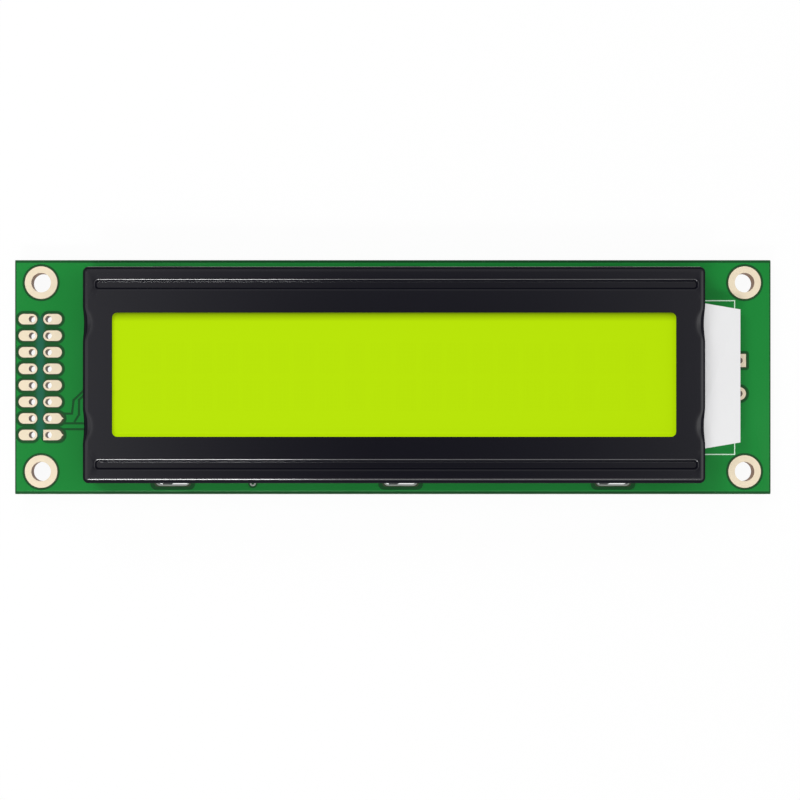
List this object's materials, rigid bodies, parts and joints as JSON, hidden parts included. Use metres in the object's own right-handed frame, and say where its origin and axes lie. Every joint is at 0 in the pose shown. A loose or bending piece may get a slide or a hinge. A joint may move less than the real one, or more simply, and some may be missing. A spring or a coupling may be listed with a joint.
{
  "type": "character lcd module",
  "caption": "Wide character display module: yellow-green LCD window in a black pressed-steel bezel on a green circuit board, lit from its white end, with corner mounting holes.",
  "frame": {"origin": "centre of the four mounting holes, on the back face of the circuit board", "axes": "+X along the board from the header end to the lamp end, +Y across it towards the top of the characters, +Z out of the display"},
  "size_m": [0.116, 0.036, 0.01],
  "materials": {
    "board": "green solder mask over glass-epoxy laminate, satin",
    "gold_lands": "pale immersion gold over copper",
    "tin_lands": "dull tin",
    "black_bezel": "black satin paint on pressed steel",
    "display_film": "yellow-green, matt anti-glare film",
    "cell_glass": "clear soda-lime glass",
    "seal": "cured epoxy line",
    "liquid_crystal": "yellow-green fluid layer",
    "rear_film": "transflective polarizer film",
    "contact_rubber": "silicone rubber with fine carbon layers",
    "diffuser_film": "milky diffuser film",
    "light_guide": "clear acrylic",
    "reflector_film": "white reflector film",
    "lamp_board": "white-coated laminate",
    "lamp": "phosphor-filled lamp packages",
    "tinned_wire": "tinned copper wire",
    "solder": "bright tin solder",
    "black_resin": "black glob-top epoxy, half gloss",
    "resistor": "black glazed chip resistors with tinned ends",
    "capacitor": "tan ceramic chip capacitors with tinned ends"
  },
  "bodies": {
    "root": {"circuit_board": "board", "mounting_lands": "gold_lands", "header_lands": "gold_lands", "terminal_lands": "gold_lands", "slot_lands": "tin_lands", "bezel": "black_bezel", "front_polarizer": "display_film", "front_glass": "cell_glass", "cell_seal": "seal", "liquid_crystal": "liquid_crystal", "rear_glass": "cell_glass", "rear_polarizer": "rear_film", "upper_contact_strip": "contact_rubber", "lower_contact_strip": "contact_rubber", "diffuser": "diffuser_film", "light_guide": "light_guide", "reflector": "reflector_film", "lamp_board": "lamp_board", "lamps": "lamp", "lamp_leads": "tinned_wire", "lead_solder": "solder", "controller_dome": "black_resin", "left_driver_dome": "black_resin", "right_driver_dome": "black_resin", "chip_resistors": "resistor", "chip_capacitors": "capacitor"}
  },
  "joints": []
}
